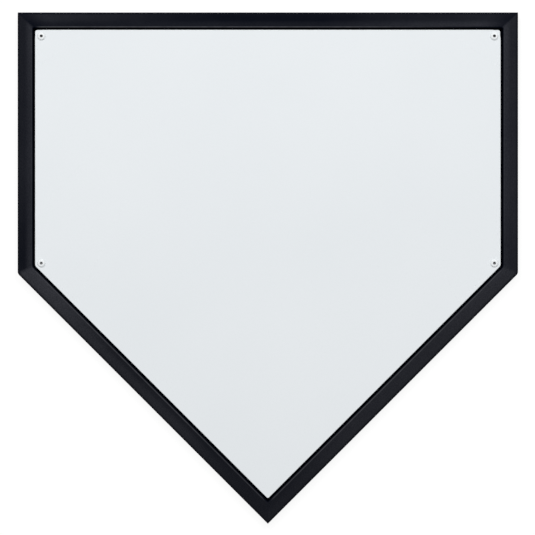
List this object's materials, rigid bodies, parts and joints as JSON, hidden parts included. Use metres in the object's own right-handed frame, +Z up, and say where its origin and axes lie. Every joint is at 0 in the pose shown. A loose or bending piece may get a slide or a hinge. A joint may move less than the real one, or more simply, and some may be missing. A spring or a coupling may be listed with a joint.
{
  "type": "baseball home plate",
  "caption": "Pentagonal baseball home plate: white rubber face slab in a black bevelled rubber frame, screwed at its square corners to a plywood core over a waffle rubber base.",
  "frame": {"origin": "on the ground, at the middle of the plate's bounding box", "axes": "+Z up, +Y towards the straight front edge, -Y towards the tip, +X to the right seen from above"},
  "size_m": [0.467, 0.4772, 0.0272],
  "materials": {
    "white_rubber": "matte moulded white rubber",
    "black_rubber": "satin moulded black rubber",
    "plywood": "bare plywood",
    "white_coated_steel": "white powder coat",
    "zinc_steel": "bright zinc plate"
  },
  "bodies": {
    "root": {"white_slab": "white_rubber", "bevel_frame": "black_rubber", "waffle_base": "black_rubber", "core_board": "plywood", "face_screw_front_left": "white_coated_steel", "face_screw_front_right": "white_coated_steel", "face_screw_rear_left": "white_coated_steel", "face_screw_rear_right": "white_coated_steel", "tee_nut_front_left": "zinc_steel", "tee_nut_front_right": "zinc_steel", "tee_nut_rear_left": "zinc_steel", "tee_nut_rear_right": "zinc_steel", "base_screw_front_1": "zinc_steel", "base_screw_front_2": "zinc_steel", "base_screw_left_1": "zinc_steel", "base_screw_left_2": "zinc_steel", "base_screw_rear_left_1": "zinc_steel", "base_screw_rear_left_2": "zinc_steel", "base_screw_rear_right_1": "zinc_steel", "base_screw_rear_right_2": "zinc_steel", "base_screw_right_1": "zinc_steel", "base_screw_right_2": "zinc_steel"}
  },
  "joints": []
}
